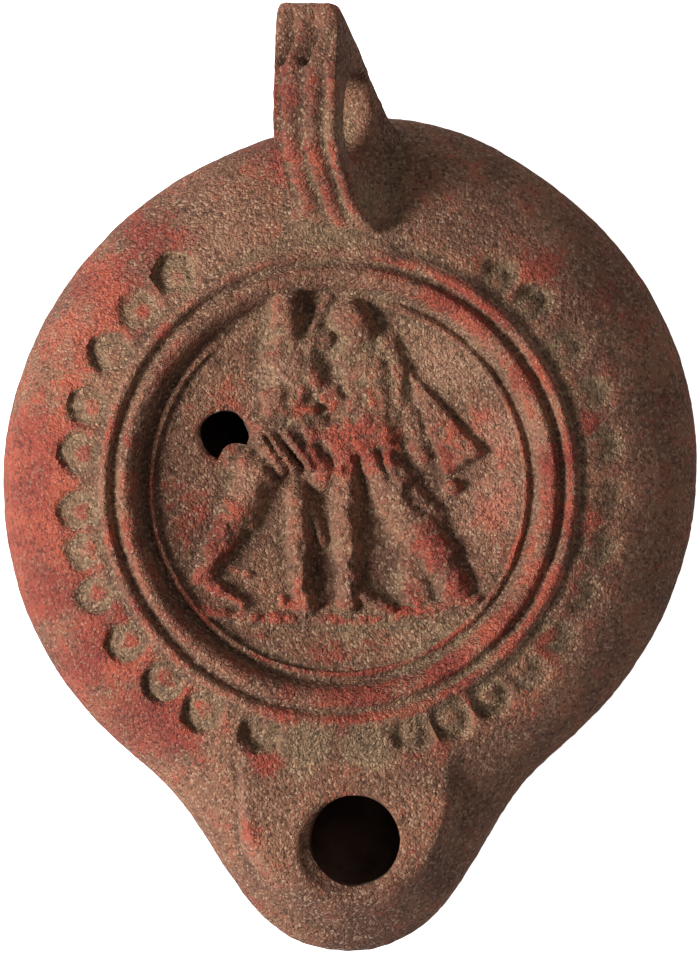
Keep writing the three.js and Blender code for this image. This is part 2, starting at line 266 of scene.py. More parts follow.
def picture_height(x, y):
    """How high the picture stands above the dish, from the disc's middle."""
    near = np.flatnonzero(np.hypot(x, y) < 26)
    all_heights = np.zeros_like(x)
    x, y = x[near], y[near]
    height = np.zeros_like(x)
    x_worn = x + 0.3 * worn(x, y, 0.45, 11.0)
    y_worn = y + 0.3 * worn(x, y, 0.45, 17.0)
    for x0, y0, r0, x1, y1, r1, high in LEFT_FIGHTER + RIGHT_FIGHTER:
        share, off = along_line(x_worn, y_worn, x0, y0, x1, y1)
        width = (r0 + (r1 - r0) * share) * LIMB_WIDENING
        bar = RELIEF * high * np.maximum(0, 1 - (off / width) ** 2) ** LIMB_CROWN
        height = soft_max(height, bar, 0.4)
    panel = np.full_like(x, 9.0)
    for (x0, y0), (x1, y1) in zip(SHIELD_CORNERS, SHIELD_CORNERS[1:] + SHIELD_CORNERS[:1]):
        length = hypot(x1 - x0, y1 - y0)
        inside = ((x - x0) * (y0 - y1) + (y - y0) * (x1 - x0)) / length
        panel = np.minimum(panel, -inside)
    tilt = 0.4 + 0.6 * smooth_step(7, 15, x + 0.3 * (y - 8))
    height = soft_max(height, SHIELD_HEIGHT * tilt * smooth_step(-0.5, 0.7, panel), 0.3)
    for x0, y0, x1, y1, wide, deep in PICTURE_CUTS:
        _, off = along_line(x_worn, y_worn, x0, y0, x1, y1)
        height -= CUT_DEPTH * deep * np.exp(-((off / (CUT_WIDENING * wide)) ** 2))
    line = GROUND_LINE
    drop = np.hypot(x - line["x"], y - line["y"] - line["bend"]) - line["bend"]
    ends = smooth_step(line["half_length"], line["half_length"] - 3, np.abs(x - line["x"]))
    ridge = line["height"] * np.exp(-((drop / line["half_width"]) ** 2)) * ends
    height = soft_max(height, ridge, 0.2)
    figures = smooth_step(0.1, 0.9, height)
    height += figures * (0.42 * worn(x, y, 0.75, 2.0) + 0.24 * worn(x, y, 1.7, 5.0))
    all_heights[near] = height
    return all_heights


# ---- The egg stamps ----
# A row of egg-shaped stamps was pressed into the mould's shoulder on each side, from the handle round to the
# nozzle. Each is sunk with a crisp outer edge, and they are worn and filled with dirt towards the handle.
EGG_HALF_LENGTH = 2.6
EGG_HALF_WIDTH = 2.6
# angle in degrees, distance from the disc's middle, depth and how soft its edge has worn
EGGS = [
    (127.4, 32.6, 1.15, 0.12),
    (138.4, 32.3, 0.75, 0.16),
    (149.6, 32.1, 0.95, 0.10),
    (162.1, 31.8, 0.80, 0.10),
    (172.8, 31.6, 0.80, 0.10),
    (185.3, 31.6, 0.75, 0.16),
    (194.0, 31.7, 0.60, 0.18),
    (203.9, 32.2, 0.70, 0.18),
    (216.3, 31.9, 0.90, 0.12),
    (228.1, 31.7, 0.90, 0.10),
    (238.8, 31.9, 0.95, 0.10),
    (252.6, 31.4, 0.90, 0.14),
    (52.5, 32.0, 0.80, 0.35),
    (43.5, 32.4, 0.90, 0.35),
    (31.5, 32.4, 0.60, 0.45),
    (20.0, 32.3, 0.55, 0.50),
    (9.0, 32.3, 0.60, 0.45),
    (-2.0, 32.2, 0.50, 0.50),
    (-13.0, 32.0, 0.55, 0.45),
    (-24.0, 32.0, 0.50, 0.45),
    (-34.5, 32.0, 0.50, 0.45),
    (-44.5, 31.8, 0.55, 0.35),
    (-54.0, 31.6, 0.85, 0.18),
    (-64.0, 31.4, 0.95, 0.15),
    (-73.0, 31.5, 0.95, 0.15),
]


def egg_stamps(x, y):
    """The height that the stamps add, and how far each point lies inside one, from 0 to 1."""
    dx, dy = x - DISC_CENTRE[0], y - DISC_CENTRE[1]
    from_centre = np.hypot(dx, dy)
    angle = np.degrees(np.arctan2(dy, dx))
    height = np.zeros_like(x)
    inside = np.zeros_like(x)
    for number, (turn, ring, depth, soft) in enumerate(EGGS):
        off_angle = np.mod(angle - turn + 180, 360) - 180
        near = np.flatnonzero((np.abs(off_angle) < 9) & (np.abs(from_centre - ring) < 5))
        u = from_centre[near] * np.radians(off_angle[near])
        v = from_centre[near] - ring
        u = u + 0.3 * worn(u, v, 0.6, 3.1 * number)
        v = v + 0.3 * worn(u, v, 0.6, 3.1 * number + 50)
        off = np.hypot(u / EGG_HALF_WIDTH, v / EGG_HALF_LENGTH)
        cut = smooth_step(1.02 + soft, 0.98 - soft * 1.6, off)
        bowl = 1.5 * depth * (0.35 + 0.65 * smooth_step(-2.4, 1.4, v))
        bowl *= 1 - 0.45 * smooth_step(0.9, 0.1, np.hypot(u / 1.9, (v + 0.5) / 2.2))
        rough = 0.16 * worn(u, v, 1.5, number * 1.7) + 0.1 * worn(u, v, 3.0, number * 2.3)
        height[near] = np.minimum(height[near], cut * (rough - bowl))
        inside[near] = np.maximum(inside[near], cut)
    return height, inside


# ---- The nozzle ----
# The nozzle's flat top is a tongue that falls gently forward and ends in a half circle round the wick hole.
# A straight groove parts it from the rings. Holes are x, y and radius. Strokes are x, y to x, y, half
# width, depth.
TABLE_CENTRE = (-0.4, -40.0)
TABLE_RADIUS = 12.9
TABLE_HEIGHT = 25.5
TABLE_FALL = radians(5)
WICK_HOLE = (0.6, -44.2, 5.5)
FILLING_HOLE = (-15.2, 5.0, 2.97)
NOZZLE_GROOVE = [
    (-10.8, -32.6, 5.0, -33.2, 0.85, 0.6),
    (-12.3, -31.0, -11.4, -32.0, 0.8, 0.7),
    (-13.9, -35.0, -13.5, -39.5, 0.35, 0.35),
]
RIB_ENDS = [
    (-7.9, 31.8, -7.9, 28.2, 0.6, 0.5),
    (-5.7, 32.0, -4.7, 28.4, 0.55, 0.6),
    (-3.3, 32.0, -2.1, 28.0, 0.55, 0.6),
    (-0.8, 32.4, 2.3, 28.4, 0.6, 0.6),
]


def table_depth_inside(x, y):
    dx, dy = x - TABLE_CENTRE[0], y - TABLE_CENTRE[1]
    off = np.where(dy > 0, np.abs(dx), np.hypot(dx, dy))
    return TABLE_RADIUS - off


def with_nozzle_top(x, y, z):
    inside = table_depth_inside(x, y) + 0.35 * worn(x, y, 0.3, 21.0)
    edge = 0.8 + 0.8 * smooth_step(-12, 6, x) + 1.3 * smooth_step(-44, -52, y)
    table = TABLE_HEIGHT + (y - TABLE_CENTRE[1]) * tan(TABLE_FALL)
    on_table = smooth_step(0, 1, 0.5 + inside / (2 * edge)) * smooth_step(-32.6, -33.8, y)
    z = z + on_table * (table - z)
    for x0, y0, x1, y1, wide, deep in NOZZLE_GROOVE:
        _, off = along_line(x, y, x0, y0, x1, y1)
        z = z - deep * np.exp(-((off / wide) ** 2))
    for x0, y0, x1, y1, wide, high in RIB_ENDS:
        share, off = along_line(x, y, x0, y0, x1, y1)
        z = z + high * (1 - 0.8 * share) * np.exp(-((off / wide) ** 2))
    return z


# ---- The holes' lips ----
# The holes were punched while the clay was leather-hard, which left soft lips. A lump of clay hangs in the
# edge of the filling hole, and the wick hole's edge is worn to a bevel: x, y, radius, and the bevel's
# width.
FILLING_LUMP = (-13.85, 2.1, 1.9)
WICK_BEVEL = (-0.2, -45.0, 6.3, 1.5)
LIP_WIDTH = 0.6
LIP_FALL = 0.4
BEVEL_FALL = 1.1


def with_lips(x, y, z):
    for hole_x, hole_y, radius in (WICK_HOLE, FILLING_HOLE):
        off = np.hypot(x - hole_x, y - hole_y) - radius
        z = z - LIP_FALL * np.clip(1 - off / LIP_WIDTH, 0, 1) ** 2
    bevel_x, bevel_y, radius, wide = WICK_BEVEL
    off = np.hypot(x - bevel_x, y - bevel_y) - radius
    z = z - BEVEL_FALL * smooth_step(0.25, -wide, off)
    off = np.hypot(x - FILLING_LUMP[0], y - FILLING_LUMP[1]) / FILLING_LUMP[2]
    rough = 0.15 * worn(x, y, 1.1, 31.0) * (off < 1.2)
    return z + 0.45 * np.maximum(0, 1 - off**2) ** 0.6 + rough


# ---- The outer skin ----
# The wall, the rings, the picture, the eggs and the nozzle's top are one skin of clay, as it left the two
# moulds. It is a square grid bent into the dish, then row after row of points down to the foot.
FLOOR_RINGS = 70
AROUND = 8 * FLOOR_RINGS
HEADS_ANGLE = radians(103)
RINGS_END = 31.0


def floor_z(x, y):
    return FLOOR_HEIGHT + FLOOR_RISE * (x * x + y * y) / FLOOR_RADIUS**2


def square_rings(count):
    """A square grid bent into a disc: each point's ring, its turn, and the quads between them."""
    i, j = np.meshgrid(np.arange(-count, count + 1), np.arange(-count, count + 1), indexing="ij")
    i, j = i.ravel(), j.ravel()
    ring = np.maximum(np.abs(i), np.abs(j))
    step = np.select(
        [ring == 0, (i == ring) & (j > -ring), j == ring, i == -ring],
        [0, j, 2 * ring - i, 4 * ring - j],
        6 * ring + i,
    )
    turn = 2 * pi * step / np.maximum(1, 8 * ring)
    width = 2 * count + 1
    corner = (np.arange(width - 1)[:, None] * width + np.arange(width - 1)[None, :]).ravel()
    quads = np.stack([corner, corner + width, corner + width + 1, corner + 1], axis=1)
    rim = np.flatnonzero(ring == count)
    rim = rim[np.argsort(np.mod(step[rim], 8 * count))]
    return ring, turn, quads, rim


def outer_wall():
    """Vertices and faces of the lamp's outer skin, without the handle."""
    ring, turn, floor_quads, rim = square_rings(FLOOR_RINGS)
    x, y = drawn_out(ring * FLOOR_RADIUS / FLOOR_RINGS, turn, SHOULDER_RADIUS, DISC_CENTRE)
    dx, dy = x - DISC_CENTRE[0], y - DISC_CENTRE[1]
    z = floor_z(dx, dy) + picture_height(dx, dy)
    parts = [np.stack([x, y, z], axis=1)]
    faces = [floor_quads]
    turn = 2 * pi * np.arange(AROUND) / AROUND
    ring_rows = np.linspace(FLOOR_RADIUS, SHOULDER_RADIUS, RING_ROWS + 1)[1:]
    rows = [(radius, ring_height(radius), True) for radius in ring_rows]
    for radius, height in shoulder_rows:
        blend = smooth_step(RINGS_END, SHOULDER_RADIUS, radius)
        rows.append((radius, height + blend * (ring_height(radius) - height), True))
    rows += [(radius, height, False) for radius, height in underside_rows]
    rows += [(radius, height, False) for radius, height in foot_rows]
    inner = rim
    count = len(x)
    for radius, height, upper in rows:
        if upper:
            x, y = drawn_out(np.full(AROUND, radius), turn, SHOULDER_RADIUS, DISC_CENTRE)
            z = np.full(AROUND, height)
            if radius > SHOULDER_RADIUS:
                z = z + ring_wear(x, y) * smooth_step(RINGS_END, SHOULDER_RADIUS, radius)
                z = with_nozzle_top(x, y, z + egg_stamps(x, y)[0])
            else:
                dx, dy = x - DISC_CENTRE[0], y - DISC_CENTRE[1]
                z = z + ring_wear(x, y) * smooth_step(FLOOR_RADIUS, 24, radius)
                near_heads = smooth_step(0.62, 0.36, angle_between(np.arctan2(dy, dx), HEADS_ANGLE))
                bead = near_heads * smooth_step(23.7, 23.3, radius)
                z = z + bead * (FLOOR_HEIGHT + FLOOR_RISE + 0.2 - z)
                z = soft_max(z, floor_z(dx, dy) + picture_height(dx, dy) - 0.3, 0.3)
        else:
            x, y = drawn_out(np.full(AROUND, radius), turn, FOOT_RADIUS, (0, 0))
            z = np.full(AROUND, height)
        parts.append(np.stack([x, y, z], axis=1))
        outer = count + np.arange(AROUND)
        faces.append(np.stack([inner, outer, np.roll(outer, -1), np.roll(inner, -1)], axis=1))
        inner = outer
        count += AROUND
    points = np.concatenate(parts)
    top = points[:, 2] > SEAM_HEIGHT + 1
    points[top, 2] = with_lips(points[top, 0], points[top, 1], points[top, 2])
    quads = [list(map(int, face)) for block in faces for face in block]
    return points, quads + [list(map(int, inner[::-1]))]


def mesh_object(name, points, faces):
    mesh = bpy.data.meshes.new(name)
    mesh.from_pydata(points.tolist(), [], faces)
    mesh.update()
    made = bpy.data.objects.new(name, mesh)
    bpy.context.collection.objects.link(made)
    return made


# ---- The handle ----
# A thick plate, modelled by hand and pierced from side to side, leaning left. Four ribs run round its edge,
# and its foot was smeared onto the shoulder. Each side is the way it faces, in degrees, and its distance.
HANDLE_HOLE = (-2.8, 43.2, 29.5)
HANDLE_HOLE_RADIUS = 5.4
HANDLE_HALF_THICKNESS = 4.1
HANDLE_LEAN = radians(18)
HANDLE_SIDES = [(137, 8.9), (85, 9.4), (-37.8, 7.05), (215, 14.5), (270, 13)]
HANDLE_SHARPNESS = 9
HANDLE_SECTION = [
    (0.0, -0.5),
    (0.0, -0.78),
    (0.06, -0.95),
    (0.2, -1.0),
    (0.7, -1.0),
    (0.9, -0.98),
    (0.98, -0.9),
    (1.0, -0.75),
    (1.0, 0.75),
    (0.98, 0.9),
    (0.9, 0.98),
    (0.7, 1.0),
    (0.2, 1.0),
    (0.06, 0.95),
    (0.0, 0.78),
    (0.0, 0.5),
    (0.0, 0.0),
]
HANDLE_FLARE = 0.6
FLARE_HEIGHT = 2.5
HANDLE_STEPS = 140
SECTION_STEPS = 84
# The grooves between the ribs: depth at the tip, the middle and the foot, place across the plate and half
# width.
RIB_GROOVES = [
    (2.0, 0.6, 0.8, 0.78, 0.17),
    (2.2, 0.5, 0.9, 0.1, 0.2),
    (0.6, 0.9, 0.9, -0.55, 0.15),
]


def shoulder_z(x, y):
    """The plain shoulder's height over a point of the plan."""
    share = np.zeros_like(x)
    for _ in range(8):
        dx = x - DISC_CENTRE[0] * (1 - share)
        dy = y - DISC_CENTRE[1] * (1 - share)
        reach = outline_radius(np.arctan2(dy, dx)) - SHOULDER_RADIUS
        share = np.clip((np.hypot(dx, dy) - SHOULDER_RADIUS) / reach, 0, 1)
    sine = sin(SHOULDER_START) + (1 - sin(SHOULDER_START)) * share
    rise = (SHOULDER_HEIGHT - SEAM_HEIGHT) / cos(SHOULDER_START)
    return SEAM_HEIGHT + rise * np.sqrt(1 - sine * sine)


def handle_reach(angle):
    total = np.zeros_like(angle)
    for facing, distance in HANDLE_SIDES:
        total += np.maximum(0, np.cos(angle - radians(facing)) / distance) ** HANDLE_SHARPNESS
    return total ** (-1 / HANDLE_SHARPNESS)


def rib_depth(angle, across):
    """How deep the grooves between the four ribs are, round the handle's edge."""
    tip = smooth_step(31, 36, angle) * smooth_step(56, 46, angle)
    middle = smooth_step(48, 60, angle) * smooth_step(165, 140, angle)
    foot = smooth_step(140, 165, angle)
    sideways = 0.42 * smooth_step(52, 30, angle)
    depth = np.zeros_like(angle)
    for at_tip, at_middle, at_foot, place, wide in RIB_GROOVES:
        deep = at_tip * tip + at_middle * middle + at_foot * foot
        depth += deep * np.exp(-(((across + place - sideways) / wide) ** 2))
    return depth + 0.3 * worn(angle / 9, across * 3, 1.0, 61.0) * smooth_step(20, 40, angle)


def handle_plate():
    section = np.array(HANDLE_SECTION + HANDLE_SECTION[:1])
    lengths = np.hypot(*(np.diff(section, axis=0) * [6, 4]).T)
    measure = np.concatenate([[0], np.cumsum(lengths)])
    at = np.linspace(0, measure[-1], SECTION_STEPS, endpoint=False)
    out = np.interp(at, measure, section[:, 0])
    across = np.interp(at, measure, section[:, 1])
    for _ in range(2):
        out = (np.roll(out, 1) + 2 * out + np.roll(out, -1)) / 4
        across = (np.roll(across, 1) + 2 * across + np.roll(across, -1)) / 4
    turn = 2 * pi * np.arange(HANDLE_STEPS) / HANDLE_STEPS
    angle, out = np.meshgrid(turn, out, indexing="ij")
    _, across = np.meshgrid(turn, across, indexing="ij")
    reach = HANDLE_HOLE_RADIUS + (handle_reach(angle) - HANDLE_HOLE_RADIUS) * out
    reach -= rib_depth(np.degrees(angle), across) * smooth_step(0.8, 0.98, out)
    along, up = reach * np.cos(angle), reach * np.sin(angle)
    surface = shoulder_z(np.full_like(along, HANDLE_HOLE[0]), HANDLE_HOLE[1] + along)
    above = np.maximum(0, HANDLE_HOLE[2] + up - surface)
    flare = 1 + HANDLE_FLARE * out * np.exp(-above / FLARE_HEIGHT)
    width = across * HANDLE_HALF_THICKNESS * flare
    x = HANDLE_HOLE[0] + width * cos(HANDLE_LEAN) - up * sin(HANDLE_LEAN)
    y = HANDLE_HOLE[1] + along
    z = HANDLE_HOLE[2] + width * sin(HANDLE_LEAN) + up * cos(HANDLE_LEAN)
    points = np.stack([x, y, z], axis=-1).reshape(-1, 3)
    i, j = np.meshgrid(np.arange(HANDLE_STEPS), np.arange(SECTION_STEPS), indexing="ij")
    i, j = i.ravel(), j.ravel()
    i1, j1 = (i + 1) % HANDLE_STEPS, (j + 1) % SECTION_STEPS
    quads = np.stack([i, j, i1, j, i1, j1, i, j1], axis=1).reshape(-1, 4, 2)
    quads = quads[:, :, 0] * SECTION_STEPS + quads[:, :, 1]
    return points, quads.tolist()


# ---- The oil chamber ----
# The inside, as the two pressed halves left it: about 4 mm of wall all round, open through the wick hole
# and the filling hole only.
WALL = 3.8
CHAMBER_BOTTOM = (14, 4.5)
CHAMBER_TOP = (27.5, 22.6)
CHAMBER_ROWS = 8
CHAMBER_AROUND = 96
PIN_HEIGHTS = np.linspace(16.5, 27.5, 23)
HOLE_SIDES = 72


def stacked_faces(rows, around):
    """The faces between stacked rings of points, closed at each end."""
    turn = np.arange(around)
    faces = [turn[::-1].tolist()]
    for row in range(rows - 1):
        low, high = row * around + turn, (row + 1) * around + turn
        faces += np.stack([low, np.roll(low, -1), np.roll(high, -1), high], axis=1).tolist()
    faces.append(((rows - 1) * around + turn).tolist())
    return faces


def chamber():
    widest = (BODY_RADIUS - WALL, SEAM_HEIGHT)
    lower = quarter_oval(CHAMBER_BOTTOM, widest, UNDERSIDE_START, CHAMBER_ROWS)
    upper = quarter_oval(CHAMBER_TOP, widest, SHOULDER_START, CHAMBER_ROWS)[::-1]
    rows = [(*CHAMBER_BOTTOM, False)] + [(r, z, False) for r, z in lower[:-1]]
    rows += [(r, z, True) for r, z in upper] + [(*CHAMBER_TOP, True)]
    rows += [(r, float(floor_z(r, 0)) - WALL, True) for r in (22, 16, 10, 4)]
    turn = 2 * pi * np.arange(CHAMBER_AROUND) / CHAMBER_AROUND
    parts = []
    for radius, height, above in rows:
        start, centre = (CHAMBER_TOP[0], DISC_CENTRE) if above else (CHAMBER_BOTTOM[0], (0, 0))
        x, y = drawn_out(np.full(CHAMBER_AROUND, radius), turn, start, centre, WALL)
        parts.append(np.stack([x, y, np.full(CHAMBER_AROUND, height)], axis=1))
    return np.concatenate(parts), stacked_faces(len(rows), CHAMBER_AROUND)


def punch(hole, roughness, seed):
    """A slightly uneven upright pin that cuts a hole, dented where the lump hangs in it."""
    hole_x, hole_y, radius = hole
    lump_x, lump_y, lump_radius = FILLING_LUMP
    rows = []
    for height in PIN_HEIGHTS:
        ring = []
        for step in range(HOLE_SIDES):
            angle = 2 * pi * step / HOLE_SIDES
            spot = (1.6 * cos(angle), 1.6 * sin(angle) + seed, height * 0.35)
            reach = radius + roughness * noise.noise(spot)
            along = (lump_x - hole_x) * cos(angle) + (lump_y - hole_y) * sin(angle)
            aside = (lump_x - hole_x) * sin(angle) - (lump_y - hole_y) * cos(angle)
            if abs(aside) < lump_radius and along > 0:
                reach = min(reach, along - (lump_radius**2 - aside**2) ** 0.5)
            ring.append((hole_x + reach * cos(angle), hole_y + reach * sin(angle), height))
        rows.append(ring)
    return np.array(rows).reshape(-1, 3), stacked_faces(len(rows), HOLE_SIDES)


# ---- Joining the clay ----
# The handle was luted to the wall with wet clay and the seam smoothed over with a thumb. The skin gets its
# lumps here, and the chamber and the holes' pins become one cutter.
SEAM_SPREAD = 7
SEAM_PASSES = 22
WICK_HOLE_WEAR = 0.25
FILLING_HOLE_WEAR = 0.35


def joined(target, tool, operation):
    boolean = target.modifiers.new("join", "BOOLEAN")
    boolean.operation = operation
    boolean.object = tool
    boolean.solver = "EXACT"
    depsgraph = bpy.context.evaluated_depsgraph_get()
    result = bpy.data.meshes.new_from_object(target.evaluated_get(depsgraph), depsgraph=depsgraph)
    target.modifiers.clear()
    target.data = result
    bpy.data.objects.remove(tool)


def arrays(mesh):
    points = np.empty(len(mesh.vertices) * 3)
    mesh.vertices.foreach_get("co", points)
    normals = np.empty(len(mesh.vertices) * 3)
    mesh.vertices.foreach_get("normal", normals)
    edges = np.empty(len(mesh.edges) * 2, dtype=np.int32)
    mesh.edges.foreach_get("vertices", edges)
    return points.reshape(-1, 3), normals.reshape(-1, 3), edges.reshape(-1, 2)


def mean_of_neighbours(values, edges, count):
    total = np.zeros((len(values), values.shape[1]))
    for column in range(values.shape[1]):
        total[:, column] = np.bincount(edges[:, 0], values[edges[:, 1], column], len(values))
        total[:, column] += np.bincount(edges[:, 1], values[edges[:, 0], column], len(values))
    return total / count[:, None]


lamp = mesh_object("lamp_clay", *outer_wall())
handle = mesh_object("handle_plate", *handle_plate())
for number, piece in enumerate((lamp, handle)):
    for name in ("wall side", "handle side"):
        piece.data.materials.append(bpy.data.materials.get(name) or bpy.data.materials.new(name))
    piece.data.polygons.foreach_set("material_index", [number] * len(piece.data.polygons))
joined(lamp, handle, "UNION")

# The seam runs where faces of the wall meet faces of the handle.
mesh = lamp.data
side = np.empty(len(mesh.polygons), dtype=np.int32)
mesh.polygons.foreach_get("material_index", side)
touches = np.zeros((len(mesh.vertices), 2), dtype=bool)
for polygon in mesh.polygons:
    for corner in polygon.vertices:
        touches[corner, side[polygon.index]] = True
points, normals, edges = arrays(mesh)
degree = np.maximum(1, np.bincount(edges.ravel(), minlength=len(points)))
weight = (touches[:, 0] & touches[:, 1]).astype(float)[:, None]
for _ in range(SEAM_SPREAD):
    spread = mean_of_neighbours(weight, edges, degree)
    weight = np.maximum(weight, np.minimum(1, spread * 1.7))
for _ in range(SEAM_PASSES):
    points += weight * 0.5 * (mean_of_neighbours(points, edges, degree) - points)
mesh.vertices.foreach_set("co", points.ravel())
mesh.update()

# The skin's lumps, grains and small knocks
points, normals, edges = arrays(mesh)
lumps = np.array(
    [
        0.1 * noise.noise((x * 0.15, y * 0.15, z * 0.15))
        + 0.06 * noise.noise((x * 0.6, y * 0.6, z * 0.6 + 9))
        + 0.07 * noise.noise((x * 1.7, y * 1.7, z * 1.7 + 30))
        for x, y, z in points.tolist()
    ]
)
lumps *= smooth_step(0.4, 2.0, points[:, 2])
points += normals * lumps[:, None]
mesh.vertices.foreach_set("co", points.ravel())
mesh.update()
mesh.materials.clear()

cutter = mesh_object("chamber", *chamber())
pin = mesh_object("wick_pin", *punch(WICK_HOLE, WICK_HOLE_WEAR, 3.1))
joined(cutter, pin, "UNION")
pin = mesh_object("filling_pin", *punch(FILLING_HOLE, FILLING_HOLE_WEAR, 8.4))
joined(cutter, pin, "UNION")


# ---- Clay, slip, dirt and painted shade ----
# Sandy fired clay under a thin red slip. The slip is worn through on the ridges and rims, sand is packed
# into the hollows, and the hollows are darkened with grime and painted shade. Inside, the clay is bare and
# painted dark as shade.
def srgb(red, green, blue):
    def linear(value):
        value /= 255
        return value / 12.92 if value <= 0.04045 else ((value + 0.055) / 1.055) ** 2.4

    return (linear(red), linear(green), linear(blue), 1.0)


CLAY_DARK, CLAY_LIGHT = srgb(134, 93, 73), srgb(162, 114, 88)
SLIP_DARK, SLIP_LIGHT = srgb(148, 62, 50), srgb(184, 90, 67)
# The inside colours are darker than the outer clay: bare clay with painted shade, so that the holes read
# dark.
INSIDE_PAINTED_SHADE_DEEP, INSIDE_PAINTED_SHADE_PALE = srgb(70, 50, 42), srgb(112, 80, 64)
# GRIME_AND_PAINTED_SHADE and STAIN_AND_PAINTED_SHADE darken as painted shade as well as dirt, and
# DUST_AND_PAINTED_LIGHT lightens as painted light as well as dust.
SAND, GRIME_AND_PAINTED_SHADE, STAIN_AND_PAINTED_SHADE, DUST_AND_PAINTED_LIGHT = srgb(174, 140, 107), srgb(70, 52, 42), srgb(66, 42, 34), srgb(206, 152, 124)
GRAIN_LIGHT, GRAIN_DARK = srgb(206, 170, 138), srgb(56, 40, 33)
SKIN_GRIT_HEIGHT = 0.0004
INSIDE_GRIT_HEIGHT = 0.0002
MILLIMETRE = 0.001


def node(tree, kind, inputs=None, **settings):
    made = tree.nodes.new(kind)
    for name, value in settings.items():
        setattr(made, name, value)
    for name, value in (inputs or {}).items():
        if isinstance(value, bpy.types.NodeSocket):
            tree.links.new(value, made.inputs[name])
        else:
            made.inputs[name].default_value = value
    return made


def mixed(tree, share, a, b, blend="MIX"):
    made = node(tree, "ShaderNodeMix", data_type="RGBA", blend_type=blend)
    for index, value in ((0, share), (6, a), (7, b)):
        if isinstance(value, bpy.types.NodeSocket):
            tree.links.new(value, made.inputs[index])
        else:
            made.inputs[index].default_value = value
    return made.outputs[2]


def calc(tree, operation, *values, clamp=False):
    made = node(tree, "ShaderNodeMath", operation=operation, use_clamp=clamp)
    for index, value in enumerate(values):
        if isinstance(value, bpy.types.NodeSocket):
            tree.links.new(value, made.inputs[index])
        else:
            made.inputs[index].default_value = value
    return made.outputs[0]


def between(tree, value, low, high):
    made = node(tree, "ShaderNodeMapRange", {"Value": value, "From Min": low, "From Max": high})
    made.interpolation_type = "SMOOTHSTEP"
    return made.outputs["Result"]


def speckle(tree, place, scale, detail, roughness=0.6):
    made = node(
        tree,
        "ShaderNodeTexNoise",
        {"Vector": place, "Scale": scale, "Detail": detail, "Roughness": roughness},
    )
    return made.outputs["Fac"]


def new_group(name, inputs, outputs):
    group = bpy.data.node_groups.new(name, "ShaderNodeTree")
    for socket_name, kind, value in inputs:
        socket = group.interface.new_socket(name=socket_name, in_out="INPUT", socket_type=kind)
        socket.default_value = value
    for socket_name, kind in outputs:
        group.interface.new_socket(name=socket_name, in_out="OUTPUT", socket_type=kind)
    return group, group.nodes.new("NodeGroupInput"), group.nodes.new("NodeGroupOutput")


grit, grit_in, grit_out = new_group(
    "sandy grit",
    [("Grain Size", "NodeSocketFloat", 1.0), ("Lumps", "NodeSocketFloat", 1.0)],
    [
        ("Grain", "NodeSocketFloat"),
        ("Fine", "NodeSocketFloat"),
        ("Height", "NodeSocketFloat"),
        ("Blotch", "NodeSocketFloat"),
    ],
)
place = node(grit, "ShaderNodeTexCoord").outputs["Object"]
grains = node(
    grit,
    "ShaderNodeTexVoronoi",
    {"Vector": place, "Scale": calc(grit, "DIVIDE", 3000, grit_in.outputs["Grain Size"])},
)
grain = node(grit, "ShaderNodeSeparateColor", {"Color": grains.outputs["Color"]}).outputs["Red"]
fine = between(grit, speckle(grit, place, 2300, 3, 0.75), 0.32, 0.68)
coarse = speckle(grit, place, 900, 3, 0.6)
blotch = speckle(grit, place, 150, 4, 0.62)
height = calc(grit, "MULTIPLY", calc(grit, "SUBTRACT", 1.0, grains.outputs["Distance"]), grain)
height = calc(grit, "ADD", height, calc(grit, "MULTIPLY", fine, 0.5))
height = calc(grit, "ADD", height, calc(grit, "MULTIPLY", coarse, grit_in.outputs["Lumps"]))
grit.links.new(grain, grit_out.inputs["Grain"])
grit.links.new(fine, grit_out.inputs["Fine"])
grit.links.new(height, grit_out.inputs["Height"])
grit.links.new(blotch, grit_out.inputs["Blotch"])

slipped = bpy.data.materials.new("slipped_clay")
slipped.use_nodes = True
tree = slipped.node_tree
shader = tree.nodes["Principled BSDF"]
texture = node(tree, "ShaderNodeGroup", node_tree=grit)
texture.inputs["Grain Size"].default_value = 1.0
texture.inputs["Lumps"].default_value = 1.5
hollow = node(tree, "ShaderNodeAttribute", attribute_name="hollow").outputs["Fac"]
slip_left = node(tree, "ShaderNodeAttribute", attribute_name="slip").outputs["Fac"]
sand_laid = node(tree, "ShaderNodeAttribute", attribute_name="sand").outputs["Fac"]
place = node(tree, "ShaderNodeTexCoord").outputs["Object"]
patches = speckle(tree, place, 300, 5, 0.72)
shifted = node(tree, "ShaderNodeMapping", {"Vector": place, "Location": (0.3, 0.1, 0.2)}).outputs[0]
drifts = speckle(tree, shifted, 240, 5, 0.7)
scatter = calc(tree, "SUBTRACT", texture.outputs["Fine"], 0.5)
tint = between(tree, texture.outputs["Blotch"], 0.34, 0.66)
clay = mixed(tree, tint, CLAY_DARK, CLAY_LIGHT)
slip = mixed(tree, tint, SLIP_DARK, SLIP_LIGHT)
slip_mask = calc(tree, "ADD", calc(tree, "MULTIPLY", patches, 1.25), slip_left)
slip_mask = calc(tree, "ADD", slip_mask, calc(tree, "MULTIPLY", scatter, 0.22))
slip_mask = calc(tree, "SUBTRACT", slip_mask, calc(tree, "MULTIPLY", hollow, 0.15))
slip_mask = between(tree, slip_mask, 0.74, 1.1)
surface = mixed(tree, slip_mask, clay, slip)
sand_mask = calc(tree, "ADD", drifts, sand_laid)
sand_mask = calc(tree, "ADD", sand_mask, calc(tree, "MULTIPLY", scatter, 0.25))
sand_mask = calc(tree, "ADD", sand_mask, calc(tree, "MULTIPLY", hollow, 0.2))
sand_mask = between(tree, sand_mask, 0.7, 1.08)
surface = mixed(tree, sand_mask, surface, SAND)
